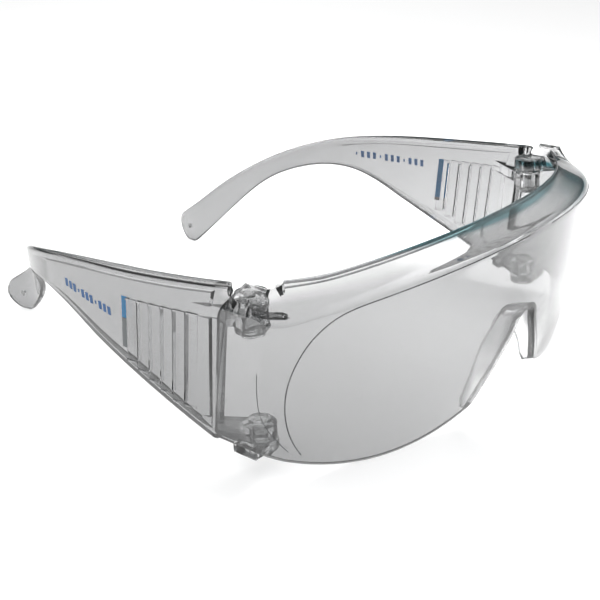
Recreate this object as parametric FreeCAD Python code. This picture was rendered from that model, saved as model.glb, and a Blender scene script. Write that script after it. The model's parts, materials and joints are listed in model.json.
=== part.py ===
"""Clear over-spectacle safety glasses: a one-piece visor, two hinged side arms and their hinge pins.

The model is worked out in a hinge frame: X across the face towards the wearer's left, Y from the
hinges back to the ears and Z up from the table. Each piece with a left and a right is drawn on the
left and mirrored. The model is moved at the end so that its origin is the middle of the footprint.
"""
import FreeCAD, Part
import math
import os

V = FreeCAD.Vector

# Visor
HALF_WIDTH = 76.0        # middle plane to the outer face of the side return
BROW_REACH = 43.0        # hinge line to the front of the brow, at the middle
CHIN_REACH = 30.8        # hinge line to the front face, at table level
FACE_BULGE = 2.0         # how far the front face bows out between chin and brow
BROW_RADIUS, CHIN_RADIUS = 110.0, 128.0
CORNER_RADIUS = 10.0     # plan corner between front face and side return
LENS_WALL = 2.2
ROOT = 0.5               # how far walls that stand on the visor start below its outer face
CREASE_Z = 57.0          # where the front face turns into the brow guard, at the middle
CREASE_END_Z = 47.8      # the same at the side returns
CHEEK_X = 43.0           # lowest point of each cheek lobe
CHEEK_INNER = (17.2, 5.6)
CHEEK_OUTER_Z = 9.0
RETURN_BACK_Y = 13.0     # rear edge of the side return at table level
RETURN_LEAN = 0.146      # forward lean of that edge per millimetre of height
RETURN_CROWN = (         # the rounded top of that edge, y and z
    (6.1, 47.5), (5.2, 49.3), (3.6, 51.3), (1.1, 53.3), (-0.9, 55.5), (-3.0, 80.0),
)

# Brow guard
BROW_DEPTH = 10.0
BROW_SIDE_DEPTH = 4.0    # its depth over the side returns
BROW_RISE, BROW_SIDE_RISE = 3.4, 5.2
BROW_WALL = 2.0
BROW_SWEEP = math.radians(37)   # outwards of here the guard steepens towards the side
BROW_CREST_Z = 55.3             # height of its rear edge over the side returns

# Nose rest
NOTCH_TOP_Z = 31.0
NOTCH_SHOULDER = (5.0, 25.7)
NOSE_BACK_Y = -28.5
NOSE_WALL = 2.0

# Hinges
PIVOT_X, PIVOT_Y = 68.0, 1.5
LUG_RADIUS, KNUCKLE_RADIUS = 4.5, 4.2
PIN_RADIUS, KNUCKLE_BORE = 1.50, 1.55
HEAD_RADIUS, HEAD_THICK = 2.6, 1.0
JOINT_GAP = 0.4
UPPER_LUG = (46.6, 51.0)
LOWER_LUG = (6.0, 8.5)
UPPER_KNUCKLE = (40.6, UPPER_LUG[0] - JOINT_GAP)
LOWER_KNUCKLE = (LOWER_LUG[1] + JOINT_GAP, 13.6)
TAB_HEIGHT = 3.6

# Side arms
ARM_WALL = 2.0
ARM_GAP = 0.4            # visor edge to arm edge when the arm is open
WIDEST_Y, WIDEST_X = 40.0, 75.8
FRONT_BOW = 300.0        # plan radius of the arm ahead of its widest point
# plan behind the widest point: radius (or straight length), heading at the end in degrees inward
ARM_PLAN = (("arc", 260.0, 8.0), ("arc", 82.6, 42.0), ("line", 6.6, 42.0), ("arc", 23.9, -24.0))
TIP_Y, TIP_Z, TIP_RADIUS = 144.6, 6.6, 6.6
TIP_SIDE = TIP_RADIUS * math.sqrt(0.5)   # where the arm's edges run into the rounded tip
TOP_EDGE = (             # side view of the top edge, y and z, from front to tip
    (-4.0, 54.4), (38.0, 50.6), (80.0, 46.4), (104.0, 40.6), (123.5, 30.4), (138.4, 18.4),
    (TIP_Y + TIP_SIDE, TIP_Z + TIP_SIDE),
)
LOWER_EDGE = (           # the lower edge, from tip to front
    (TIP_Y - TIP_SIDE, TIP_Z - TIP_SIDE), (131.1, 10.3), (116.7, 25.8), (104.9, 32.0), (91.0, 34.3),
    (77.0, 32.6), (60.0, 25.6),
)
FRONT_FOOT = ((14.0, 6.6), (-4.0, 5.4))  # its straight front end
CORD_HOLE_RADIUS = 1.0
FLANGE_WIDTH, FLANGE_THICK = 4.2, 2.6
RIM_WIDTH, RIM_THICK = 2.0, 1.6
FRONT_RIM_WIDTH = 3.0
FLANGE_END_Y, RIM_END_Y = 96.0, 84.0

# Side vent
VENT_SLOTS = 5
VENT_PITCH = 4.6
VENT_FIRST_Y = 25.4      # foremost slot, carried down to table level
VENT_LEAN = 0.14         # forward lean of the slots per millimetre of height
SLOT_WIDTH = 0.9
VENT_TOP_Z = 42.5
VENT_FLOOR = (15.6, 0.42)  # height of the foremost slot's foot, and its rise per millimetre


def mirrored(shape):
    """The same shape on the other side of the middle plane."""
    return shape.mirror(V(0, 0, 0), V(1, 0, 0))


def arc(a, b, c):
    return Part.Arc(V(*a), V(*b), V(*c)).toShape()


def line(a, b):
    return Part.makeLine(V(*a), V(*b))


def spline(points):
    curve = Part.BSplineCurve()
    curve.interpolate([V(*p) for p in points])
    return curve.toShape()


def prism(edges, direction):
    """Solid swept from the closed outline made by the edges."""
    return Part.Face(Part.Wire(edges)).extrude(V(*direction))


def rod(radius, bottom, top, x=PIVOT_X, y=PIVOT_Y):
    return Part.makeCylinder(radius, top - bottom, V(x, y, bottom))


def box(low, high):
    return Part.makeBox(high[0] - low[0], high[1] - low[1], high[2] - low[2], V(*low))


# ---------------------------------------------------------------- visor
def visor_plan(z):
    """Front radius, front centre, corner centre and corner angle of the visor plan at one height."""
    share = z / CREASE_Z
    bulge = 4 * FACE_BULGE * share * (1 - share)
    front = -(CHIN_REACH + (BROW_REACH - CHIN_REACH) * share + bulge)
    radius = CHIN_RADIUS + (BROW_RADIUS - CHIN_RADIUS) * share
    centre = front + radius
    corner_x = HALF_WIDTH - CORNER_RADIUS
    corner_y = centre - math.sqrt((radius - CORNER_RADIUS) ** 2 - corner_x ** 2)
    return radius, centre, corner_y, math.atan2(corner_x, centre - corner_y)


def visor_point(z, angle, inset=0.0):
    """Point of the visor plan whose outward normal is turned by the angle from straight ahead."""
    radius, centre, corner_y, corner_angle = visor_plan(z)
    if angle <= corner_angle:
        reach = radius - inset
        return V(reach * math.sin(angle), centre - reach * math.cos(angle), z)
    reach = CORNER_RADIUS - inset
    return V(HALF_WIDTH - CORNER_RADIUS + reach * math.sin(angle), corner_y - reach * math.cos(angle), z)


def visor_section(z, inset, back):
    """D-shaped plan outline of the visor at one height."""
    corner_angle = visor_plan(z)[3]
    half = [visor_point(z, a, inset) for a in (corner_angle, (corner_angle + math.pi / 2) / 2, math.pi / 2)]
    other = [V(-p.x, p.y, p.z) for p in half]
    right, left = V(half[2].x, back, z), V(-half[2].x, back, z)
    return Part.Wire([
        Part.makeLine(left, other[2]),
        Part.Arc(other[2], other[1], other[0]).toShape(),
        Part.Arc(other[0], visor_point(z, 0, inset), half[0]).toShape(),
        Part.Arc(half[0], half[1], half[2]).toShape(),
        Part.makeLine(half[2], right),
        Part.makeLine(right, left),
    ])


def visor_body(inset, back):
    heights = [-3, 12, 27, 42, 57, 62]
    return Part.makeLoft([visor_section(z, inset, back) for z in heights], True, False)


def crease_height(x):
    return CREASE_Z - (CREASE_Z - CREASE_END_Z) * (x / HALF_WIDTH) ** 2


def notch_edges():
    """The nose notch in front view, open at the bottom, from left to right."""
    x, z = NOTCH_SHOULDER
    foot_x, foot_z = CHEEK_INNER
    return [
        line((-foot_x, 0, foot_z), (-x, 0, z)),
        arc((-x, 0, z), (0, 0, NOTCH_TOP_Z), (x, 0, z)),
        line((x, 0, z), (foot_x, 0, foot_z)),
    ]


def visor_outline():
    """Front view of the visor as a solid that runs through it from front to back."""
    foot_x, foot_z = CHEEK_INNER
    side = HALF_WIDTH + 1
    right = arc((foot_x, 0, foot_z), (CHEEK_X, 0, 0), (HALF_WIDTH, 0, CHEEK_OUTER_Z))
    left = arc((-foot_x, 0, foot_z), (-CHEEK_X, 0, 0), (-HALF_WIDTH, 0, CHEEK_OUTER_Z))
    top_z = crease_height(side)
    edges = notch_edges() + [right, left]
    for s in (1, -1):
        edges.append(line((s * HALF_WIDTH, 0, CHEEK_OUTER_Z), (s * side, 0, CHEEK_OUTER_Z)))
        edges.append(line((s * side, 0, CHEEK_OUTER_Z), (s * side, 0, top_z)))
    edges.append(arc((-side, 0, top_z), (0, 0, CREASE_Z), (side, 0, top_z)))
    edges = Part.__sortEdges__(edges)
    return prism(edges, (0, 80, 0)).translated(V(0, -60, 0))


def brow_station(angle):
    """Section of the brow guard at one place along the crease."""
    straight = max(0.0, angle - math.pi / 2)
    angle = min(angle, math.pi / 2)
    corner = max(0.0, (angle - BROW_SWEEP) / (math.pi / 2 - BROW_SWEEP))
    depth = BROW_DEPTH + (BROW_SIDE_DEPTH - BROW_DEPTH) * corner
    z = crease_height(visor_point(CREASE_END_Z, angle).x)
    outer, inner = visor_point(z, angle, ROOT), visor_point(z, angle, depth)
    for p in (outer, inner):
        p.y += straight
    climb = BROW_RISE + (BROW_SIDE_RISE - BROW_RISE) * min(1.0, angle / BROW_SWEEP) ** 2
    climb = max(climb, BROW_CREST_Z - z)
    rise = V(0, 0, climb)
    wall = V(0, 0, -BROW_WALL * math.hypot(climb, depth) / depth)
    root = V(0, 0, -ROOT)
    corners = [outer + root, inner + rise, inner + rise + wall, outer + root + wall]
    return Part.makePolygon(corners + corners[:1])


def brow_guard():
    corner_angle = visor_plan(CREASE_END_Z)[3]
    angles = [corner_angle * i / 10 for i in range(10)]
    angles += [corner_angle + (math.pi / 2 - corner_angle) * i / 6 for i in range(7)]
    angles.append(math.pi / 2 + 16.0)
    half = Part.makeLoft([brow_station(a) for a in angles], True, True)
    return half.fuse(mirrored(half))


def nose_rest():
    """Wall that runs back from the rim of the nose notch."""
    foot_x = CHEEK_INNER[0]
    closing = [
        line((foot_x, 0, CHEEK_INNER[1]), (foot_x, 0, -6)),
        line((foot_x, 0, -6), (-foot_x, 0, -6)),
        line((-foot_x, 0, -6), (-foot_x, 0, CHEEK_INNER[1])),
    ]
    notch = Part.Face(Part.Wire(Part.__sortEdges__(notch_edges() + closing)))
    ring = notch.makeOffset2D(NOSE_WALL, fill=False).cut(notch)
    depth = NOSE_BACK_Y + 60
    wall = ring.extrude(V(0, depth, 0)).translated(V(0, -60, 0))
    return wall.common(visor_body(ROOT, 20)).common(visor_outline())


def rear_trim(gap=0.0):
    """Everything behind the leaning rear edge of the side returns."""
    edge = ((RETURN_BACK_Y - RETURN_LEAN * -10, -10.0),) + RETURN_CROWN + ((260.0, 80.0), (260.0, -10.0))
    outline = Part.makePolygon([V(-100, y + gap * (y < 200), z) for y, z in edge + edge[:1]])
    return Part.Face(outline).extrude(V(200, 0, 0))


def hinge_lugs():
    """Upper and lower lens lugs of the left side, before their bores."""
    inner = HALF_WIDTH - LENS_WALL
    upper = rod(LUG_RADIUS, *UPPER_LUG)
    tongue = box((inner + ROOT, -3.5, LOWER_LUG[0] + 1), (HALF_WIDTH - ROOT, 5.5, CHEEK_OUTER_Z + 6))
    foot = box((PIVOT_X, PIVOT_Y - LUG_RADIUS, LOWER_LUG[0]), (inner + 1.0, 5.5, LOWER_LUG[1]))
    web = box((PIVOT_X, PIVOT_Y - LUG_RADIUS, UPPER_LUG[0]), (inner + 0.3, PIVOT_Y + 1.5, UPPER_LUG[1]))
    gusset = box((PIVOT_X + 2, -12, CREASE_END_Z - 2.5), (inner + 0.5, -10.5, CREASE_END_Z + 1))
    return upper.multiFuse([rod(LUG_RADIUS, *LOWER_LUG), web, tongue, foot, gusset])


def front_lens():
    body = visor_body(0, 20)
    wall = body.cut(visor_body(LENS_WALL, 30)).common(visor_outline())
    shell = wall.multiFuse([brow_guard(), nose_rest()])
    shell = shell.cut(rear_trim())
    lugs = hinge_lugs()
    shell = shell.multiFuse([lugs, mirrored(lugs)])
    for span in (UPPER_LUG, LOWER_LUG):
        bore = rod(PIN_RADIUS, span[0] - 2, span[1] + 2)
        shell = shell.cut(bore).cut(mirrored(bore))
    return shell.removeSplitter()


# ---------------------------------------------------------------- side arm
def arm_plan(inset):
    """Plan edges of the arm's outer face, or of a line inset from it, from front to tip."""
    lead = math.radians(12)
    centre = V(WIDEST_X - FRONT_BOW, WIDEST_Y, 0)
    reach = FRONT_BOW - inset

    def on_bow(angle):
        return centre + V(reach * math.cos(angle), -reach * math.sin(angle), 0)

    edges = [Part.Arc(on_bow(lead), on_bow(lead / 2), on_bow(0)).toShape()]
    x, y, heading = WIDEST_X, WIDEST_Y, 0.0
    for kind, size, end in ARM_PLAN:
        inward = V(-math.cos(heading), -math.sin(heading), 0)
        here = V(x, y, 0)
        turned = math.radians(end)
        if kind == "line":
            step = V(-math.sin(heading), math.cos(heading), 0) * size
            edges.append(Part.makeLine(here + inward * inset, here + step + inward * inset))
            x, y = (here + step).x, (here + step).y
            continue
        turn = 1 if turned > heading else -1
        middle = here + inward * (turn * size)
        reach = size - turn * inset

        def on_arc(angle):
            return middle + V(math.cos(angle), math.sin(angle), 0) * (turn * reach)

        edges.append(Part.Arc(on_arc(heading), on_arc((heading + turned) / 2), on_arc(turned)).toShape())
        outer_end = middle + V(math.cos(turned), math.sin(turned), 0) * (turn * size)
        x, y, heading = outer_end.x, outer_end.y, turned
    return edges


def arm_sheet(inset_low, inset_high):
    """Solid of full height between two lines parallel to the arm's outer face."""
    outer, inner = arm_plan(inset_low), arm_plan(inset_high)
    ends = [Part.makeLine(outer[0].Vertexes[0].Point, inner[0].Vertexes[0].Point),
            Part.makeLine(outer[-1].Vertexes[-1].Point, inner[-1].Vertexes[-1].Point)]
    wire = Part.Wire(Part.__sortEdges__(outer + inner + ends))
    return Part.Face(wire).extrude(V(0, 0, 80)).translated(V(0, 0, -10))


def arm_outline(drop=0.0, lift=0.0):
    """Side view of the arm as a solid across it, optionally drawn in at the top and the bottom."""
    top = [(0, y, z - drop) for y, z in TOP_EDGE]
    low = [(0, y, z + lift) for y, z in LOWER_EDGE]
    foot = [(0, y, z + lift) for y, z in FRONT_FOOT]
    tip = arc(top[-1], (0, TIP_Y + TIP_SIDE, TIP_Z - TIP_SIDE), low[0])
    edges = [spline(top), tip, spline(low), line(low[-1], foot[0]), line(foot[0], foot[1]),
             line(foot[1], top[0])]
    return prism(edges, (100, 0, 0))


def tapered_band(width, end_y):
    """Full-height region inside the arm's outer face, narrowing from the width to nothing."""
    taper = Part.makePolygon([V(WIDEST_X + 4, -6, -10), V(WIDEST_X - width, -6, -10),
                              V(WIDEST_X - width - 0.5, 45, -10), V(66.0, end_y, -10),
                              V(WIDEST_X + 4, end_y, -10), V(WIDEST_X + 4, -6, -10)])
    return Part.Face(taper).extrude(V(0, 0, 80))


def knuckle(span, tab_low, tab_high):
    """Barrel round the pin, with a tab that reaches out to the arm's wall."""
    barrel = rod(KNUCKLE_RADIUS, *span)
    outline = ((PIVOT_X - 3.2, PIVOT_Y + 2.7), (PIVOT_X + 2.2, PIVOT_Y - 3.5), (73.3, 6.0), (73.3, 12.6),
               (WIDEST_X - 1.6, 13.6), (WIDEST_X - 1.6, 20.0))
    tab = Part.makePolygon([V(x, y, tab_low) for x, y in outline + outline[:1]])
    return barrel.fuse(Part.Face(tab).extrude(V(0, 0, tab_high - tab_low)))


def vent_slots():
    """Cutters for the upright slots of the side vent, stepped along the rising floor."""
    slots = []
    for i in range(VENT_SLOTS):
        y = VENT_FIRST_Y + i * VENT_PITCH
        floor = VENT_FLOOR[0] + VENT_FLOOR[1] * i * VENT_PITCH
        slot = box((60, -SLOT_WIDTH / 2, floor), (90, SLOT_WIDTH / 2, VENT_TOP_Z))
        lean = FreeCAD.Matrix()
        lean.A23, lean.A24 = -VENT_LEAN, y
        slots.append(slot.transformGeometry(lean))
    return slots


def cord_hole():
    """Cutter square to the arm's wall, for the neck cord's hole in the middle of the tip."""
    sweep = arm_plan(0)[-1].Curve
    lean = math.asin((TIP_Y - sweep.Center.y) / sweep.Radius)
    square = V(-math.cos(lean), math.sin(lean), 0)
    start = sweep.Center + square * (sweep.Radius - 5) + V(0, 0, TIP_Z)
    return Part.makeCylinder(CORD_HOLE_RADIUS, 5 + 2 * ARM_WALL, start, square)


def side_arm():
    outline = arm_outline()
    plate = arm_sheet(0, ARM_WALL).common(outline)
    beam = arm_sheet(0, FLANGE_WIDTH).common(tapered_band(FLANGE_WIDTH, FLANGE_END_Y)).common(outline)
    flange = beam.cut(arm_outline(drop=FLANGE_THICK, lift=-8))
    rim_band = arm_sheet(0, ARM_WALL + RIM_WIDTH).common(tapered_band(FLANGE_WIDTH, RIM_END_Y))
    rim = rim_band.common(outline).cut(arm_outline(drop=-8, lift=RIM_THICK))
    front_band = arm_sheet(0, FLANGE_WIDTH).common(outline).cut(rear_trim(ARM_GAP + FRONT_RIM_WIDTH))
    arm = plate.multiFuse([flange, rim, front_band]).common(rear_trim(ARM_GAP))
    swept = LUG_RADIUS + 0.7
    arm = arm.cut(rod(swept, UPPER_KNUCKLE[1], 70)).cut(rod(swept, -5, LOWER_KNUCKLE[0]))
    arm = arm.cut(rod(HEAD_RADIUS + JOINT_GAP, LOWER_KNUCKLE[0], UPPER_KNUCKLE[0]))
    arm = arm.multiFuse([
        knuckle(UPPER_KNUCKLE, UPPER_KNUCKLE[1] - TAB_HEIGHT, UPPER_KNUCKLE[1]),
        knuckle(LOWER_KNUCKLE, LOWER_KNUCKLE[0], LOWER_KNUCKLE[0] + TAB_HEIGHT),
    ])
    arm = arm.cut(rod(KNUCKLE_BORE, 0, 70))
    for cutter in vent_slots():
        arm = arm.cut(cutter)
    return arm.cut(cord_hole()).removeSplitter()


# ---------------------------------------------------------------- pins
def upper_pin():
    bottom = UPPER_KNUCKLE[0] - 0.3
    return rod(PIN_RADIUS, bottom, UPPER_LUG[1] - 0.3).fuse(rod(HEAD_RADIUS, bottom - HEAD_THICK, bottom))


def lower_pin():
    top = LOWER_KNUCKLE[1] + 0.3
    return rod(PIN_RADIUS, LOWER_LUG[0] + 0.3, top).fuse(rod(HEAD_RADIUS, top, top + HEAD_THICK))


def main():
    os.makedirs("parts", exist_ok=True)
    tip_back = TIP_Y + TIP_RADIUS
    shift = V(0, (BROW_REACH - tip_back) / 2, 0)
    arm, upper, lower = side_arm(), upper_pin(), lower_pin()
    pieces = {
        "front_lens": front_lens(),
        "arm_left": arm,
        "arm_right": mirrored(arm),
        "hinge_pin_upper_left": upper,
        "hinge_pin_upper_right": mirrored(upper),
        "hinge_pin_lower_left": lower,
        "hinge_pin_lower_right": mirrored(lower),
    }
    for node, shape in pieces.items():
        shape.translated(shift).exportStep("parts/%s.step" % node)


main()
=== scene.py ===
"""Looks of a pair of clear over-spectacle safety glasses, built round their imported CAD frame."""

import json
import math

import bpy
from mathutils import Matrix, Vector


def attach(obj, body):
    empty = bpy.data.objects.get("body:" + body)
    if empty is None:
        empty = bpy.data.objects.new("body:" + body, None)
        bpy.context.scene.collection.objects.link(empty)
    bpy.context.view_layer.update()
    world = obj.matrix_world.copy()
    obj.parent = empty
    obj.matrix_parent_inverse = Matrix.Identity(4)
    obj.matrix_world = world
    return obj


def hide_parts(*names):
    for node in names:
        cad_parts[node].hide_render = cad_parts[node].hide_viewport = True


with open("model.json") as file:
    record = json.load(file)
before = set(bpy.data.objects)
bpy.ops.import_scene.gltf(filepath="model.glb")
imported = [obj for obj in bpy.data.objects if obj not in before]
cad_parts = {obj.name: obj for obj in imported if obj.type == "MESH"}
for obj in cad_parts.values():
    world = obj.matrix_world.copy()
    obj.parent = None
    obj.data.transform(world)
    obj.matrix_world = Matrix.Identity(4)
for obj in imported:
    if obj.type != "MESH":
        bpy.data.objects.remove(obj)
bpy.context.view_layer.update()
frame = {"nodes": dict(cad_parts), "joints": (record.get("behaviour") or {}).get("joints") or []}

bl_info = {
    "name": "Safety Glasses",
    "version": (1, 0, 0),
    "blender": (4, 5, 0),
    "location": "3D View > Sidebar > Glasses",
    "description": "Builds clear over-spectacle safety glasses round their frame",
    "category": "Object",
}

MM = 0.001
HINGE = Vector(frame["joints"][0]["pos_m"]) / MM
PIVOT_X, PIVOT_Y = abs(HINGE.x), 1.5
BACK_SHIFT = HINGE.y - PIVOT_Y          # from the hinge frame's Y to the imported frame's Y
SIDES = (("left", 1), ("right", -1))

# visor, in the hinge frame's millimetres
HALF_WIDTH, CORNER = 76.0, 10.0
BROW_REACH, CHIN_REACH, BULGE = 43.0, 30.8, 2.0
BROW_RADIUS, CHIN_RADIUS = 110.0, 128.0
CREASE_Z, CREASE_END_Z = 57.0, 47.8
BROW_SIDE_DEPTH, BROW_RISE, BROW_SIDE_RISE, BROW_CREST_Z = 4.0, 3.4, 5.2, 55.3
NOTCH_TOP, NOTCH_X, NOTCH_Z = 31.0, 5.0, 25.7
FOOT_X, FOOT_Z = 17.2, 5.6
FLANGE_STEPS, FLANGE_STEP = 6, 0.0004   # rows of the nose rest, and their first spacing in metres
RETURN_BACK, RETURN_LEAN, CHEEK_OUTER_Z = 13.0, 0.146, 9.0
RETURN_CROWN = ((47.5, 6.1), (49.3, 5.2), (51.3, 3.6), (53.3, 1.1), (55.5, -0.9), (80.0, -3.0))
UPPER_LUG, LOWER_LUG, LUG_RADIUS = (46.6, 51.0), (6.0, 8.5), 4.5
LUG_RIB = ((70.0, -1.5, 46.9), (71.4, -5, 47.3), (72.0, -9, 48.0), (71.0, -13.5, 48.8), (70.4, -14.4, 49.0))

# lines moulded on the visor: the window's side in front view, and the one on each side return
WINDOW_SIDE = ((62.6, 49.0), (68.3, 43.5), (71.2, 38), (73, 32.3), (73.6, 26.8), (73.3, 19.6), (71.5, 12.9),
               (69, 8.4))
CHEEK_LINE = ((76, -6.2, 33), (76, -5.6, 28), (76, -5.5, 23.5), (76, -6.4, 19.6), (75.3, -8.8, 15.4),
              (72.6, -12.0, 10.6))

# arm
WIDEST_Y, WIDEST_X, FRONT_BOW = 40.0, 75.8, 300.0
ARM_BENDS = ((260.0, 8.0), (82.6, 42.0), (None, 6.6), (23.9, -24.0))   # radius and heading, or a straight
TIP_Y, TIP_Z, TIP_RADIUS = 144.6, 6.6, 6.6
TIP_SIDE = TIP_RADIUS * math.sqrt(0.5)
TOP_EDGE = ((-4.0, 54.4), (38.0, 50.6), (80.0, 46.4), (104.0, 40.6), (123.5, 30.4), (138.4, 18.4),
            (TIP_Y + TIP_SIDE, TIP_Z + TIP_SIDE))
LOWER_EDGE = ((60.0, 25.6), (77.0, 32.6), (91.0, 34.3), (104.9, 32.0), (116.7, 25.8), (131.1, 10.3),
              (TIP_Y - TIP_SIDE, TIP_Z - TIP_SIDE))
FRONT_FOOT = ((-4.0, 5.4), (14.0, 6.6))
ARM_FRONT, FRONT_BAND, LEAN_END = 13.4, 3.0, 25.0
FLANGE_END_Y, RIM_END_Y = 96.0, 84.0
UPPER_KNUCKLE, LOWER_KNUCKLE, KNUCKLE_RADIUS = (40.6, 46.2), (8.9, 13.6), 4.2
TAB_PLAN = ((PIVOT_X - 3.2, PIVOT_Y + 2.7), (PIVOT_X + 2.2, PIVOT_Y - 3.4), (73.3, 6.0), (73.3, 12.6),
            (WIDEST_X - 1.6, 13.6), (WIDEST_X - 1.6, 20.0))
SLOTS, SLOT_PITCH, SLOT_FIRST, SLOT_WIDTH, SLOT_TOP = 5, 4.6, 25.4, 0.6, 42.5
SLOT_FLOOR, FLOOR_RISE, VENT_LEAN = 15.6, 0.42, 0.14
BAR_FOOT, BAR_TOP, BAR_STEP = 26.2, 42.4, 0.72
BAR_BACK = {"left": 47.6, "right": 49.1}       # middle of the vent bar, carried down to table level
BAR_BLUE_FOOT = {"left": 27.4, "right": 35.6}
MARK_SIZE, DOT_SIZE = (1.3, 2.5), (0.6, 1.0)
MARK_ROWS = {                           # how many, first and last place (y and z), ink
    "left": (12, (50.5, 39.5), (79.5, 39.7), "Pale blue ink"),
    "right": (11, (71.5, 39.3), (51.0, 35.9), "Blue ink"),
}

# zones of painted light and shade in the clear finish, in the imported frame's metres: where each starts and
# where it is full
SIDE_FADE = (0.02, 0.076)
ARM_FADE = (-0.0460, -0.0500)
CROWN_LEAN, CROWN_FADE = 0.095, (0.0500, 0.0520)
HINGE_FADE = (0.0056, 0.0046)
NOSE_FADE_X, NOSE_FADE_Y = (0.021, 0.018), (-0.0895, -0.0875)
CREASE_BAND = (0.0015, 0.0005)
REAR_FALL, REAR_TOP, REAR_BAND = 0.88, 0.0598, (0.0009, 0.0003)
# painted shade and reflection: dark teal laid along the brow's crease and its rear edge
CREASE_SHADE_COLOUR = (0.04, 0.13, 0.15)
SCRATCH_ROUGHNESS = 0.25

# lights: place, aim, size and power; only the back one shows in reflections
LIGHTS = (
    ("key", (0.15, -0.02, 0.18), (0.15, -0.02, 0), 0.1, 0.5),
    ("fill", (-0.3, 0.1, 0.9), (-0.05, -0.02, 0), 1.4, 7.4),
    ("back", (0.5, 0.7, 0.6), (0.1, 0.1, 0), 0.5, 1.2),
)
HORIZON, ZENITH, SKY_STRENGTH = (0.10, 0.13, 0.135, 1), (1, 1, 1, 1), 0.68
HORIZON_TOP, ZENITH_FOOT = 0.08, 0.45   # heights in the sky where the change starts and ends


# ---------------------------------------------------------------- settings
class VisorSettings(bpy.types.PropertyGroup):
    wall: bpy.props.FloatProperty(name="Wall", description="Thickness of the visor", default=2.2 * MM,
                                  unit="LENGTH", precision=4)
    brow_depth: bpy.props.FloatProperty(name="Brow depth", description="Depth of the brow guard",
                                        default=10 * MM, unit="LENGTH", precision=4)
    brow_round: bpy.props.FloatProperty(name="Brow round", description="Length taken up by the rounded brow",
                                        default=2.6 * MM, unit="LENGTH", precision=4)
    nose_back: bpy.props.FloatProperty(name="Nose rest", description="From the nose rest's end to the hinges",
                                       default=28.5 * MM, unit="LENGTH", precision=4)
    edge_round: bpy.props.FloatProperty(name="Edge round", description="Width of the rounded rims",
                                        default=0.5 * MM, unit="LENGTH", precision=4)


class ArmSettings(bpy.types.PropertyGroup):
    wall: bpy.props.FloatProperty(name="Wall", description="Thickness of the arm", default=2.0 * MM,
                                  unit="LENGTH", precision=4)
    flange: bpy.props.FloatProperty(name="Top flange", description="Width of the top edge, wall included",
                                    default=4.2 * MM, unit="LENGTH", precision=4)
    flange_thick: bpy.props.FloatProperty(name="Flange thickness", description="Height of the top flange",
                                          default=2.6 * MM, unit="LENGTH", precision=4)
    rim: bpy.props.FloatProperty(name="Lower rim", description="Width of the lower edge, wall included",
                                 default=4.0 * MM, unit="LENGTH", precision=4)
    louvre: bpy.props.FloatProperty(name="Louvre", description="How far each louvre stands out",
                                    default=0.45 * MM, unit="LENGTH", precision=4)


class FinishSettings(bpy.types.PropertyGroup):
    visor_tint: bpy.props.FloatVectorProperty(name="Visor tint", description="What the visor lets through",
                                              subtype="COLOR", size=3, default=(0.41, 0.412, 0.415))
    arm_tint: bpy.props.FloatVectorProperty(name="Arm tint", description="What the arm's wall lets through",
                                            subtype="COLOR", size=3, default=(0.33, 0.332, 0.335))
    ink: bpy.props.FloatVectorProperty(name="Ink", description="Colour of the printed marks",
                                       subtype="COLOR", size=3, default=(0.0, 0.08, 0.25))


# ---------------------------------------------------------------- shapes
def place(x, y, z):
    """Packed-frame place, in metres, of a hinge-frame point in millimetres."""
    return Vector((x, y + BACK_SHIFT, z)) * MM


def circle_through(a, b, c):
    """Centre and radius of the circle through three points of a plane."""
    (ax, ay), (bx, by), (cx, cy) = a, b, c
    d = 2 * (ax * (by - cy) + bx * (cy - ay) + cx * (ay - by))
    sa, sb, sc = ax * ax + ay * ay, bx * bx + by * by, cx * cx + cy * cy
    x = (sa * (by - cy) + sb * (cy - ay) + sc * (ay - by)) / d
    y = (sa * (cx - bx) + sb * (ax - cx) + sc * (bx - ax)) / d
    return x, y, math.hypot(ax - x, ay - y)


LOBE = circle_through((FOOT_X, FOOT_Z), (43.0, 0.0), (HALF_WIDTH, CHEEK_OUTER_Z))
ARCH = circle_through((-NOTCH_X, NOTCH_Z), (0, NOTCH_TOP), (NOTCH_X, NOTCH_Z))


def visor_plan(z):
    """Front radius, front centre, corner centre and corner angle of the visor's plan at one height."""
    share = z / CREASE_Z
    front = -(CHIN_REACH + (BROW_REACH - CHIN_REACH) * share + 4 * BULGE * share * (1 - share))
    radius = CHIN_RADIUS + (BROW_RADIUS - CHIN_RADIUS) * share
    centre = front + radius
    corner_x = HALF_WIDTH - CORNER
    corner_y = centre - math.sqrt((radius - CORNER) ** 2 - corner_x ** 2)
    return radius, centre, corner_y, math.atan2(corner_x, centre - corner_y)


def return_edge(z):
    """Where the side return ends and the arm begins, at one height."""
    if z <= RETURN_CROWN[0][0]:
        return RETURN_BACK - RETURN_LEAN * z
    for (z0, y0), (z1, y1) in zip(RETURN_CROWN, RETURN_CROWN[1:]):
        if z <= z1:
            return y0 + (y1 - y0) * (z - z0) / (z1 - z0)


def visor_point(column, z, inset=0.0):
    """Point of the visor's face. The column runs 0 to 1 over the front, to 2 round the corner, to 3 back."""
    radius, centre, corner_y, turn = visor_plan(z)
    side, column = (-1 if column < 0 else 1), abs(column)
    if column <= 1:
        angle = turn * column
        x, y = (radius - inset) * math.sin(angle), centre - (radius - inset) * math.cos(angle)
    else:
        angle = turn + (math.pi / 2 - turn) * min(1.0, column - 1)
        x = HALF_WIDTH - CORNER + (CORNER - inset) * math.sin(angle)
        y = corner_y - (CORNER - inset) * math.cos(angle)
    if column > 2:
        y += (return_edge(z) - corner_y) * (column - 2)
    return Vector((side * x, y, z))


def on_visor(x, z, lift=0.0):
    """Point of the visor's face at one place of its front view."""
    radius, centre, corner_y, turn = visor_plan(z)
    if abs(x) < radius * math.sin(turn):
        y = centre - math.sqrt((radius + lift) ** 2 - x * x)
    else:
        y = corner_y - math.sqrt(max((CORNER + lift) ** 2 - (abs(x) - HALF_WIDTH + CORNER) ** 2, 0))
    return Vector((x, y, z))


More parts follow.
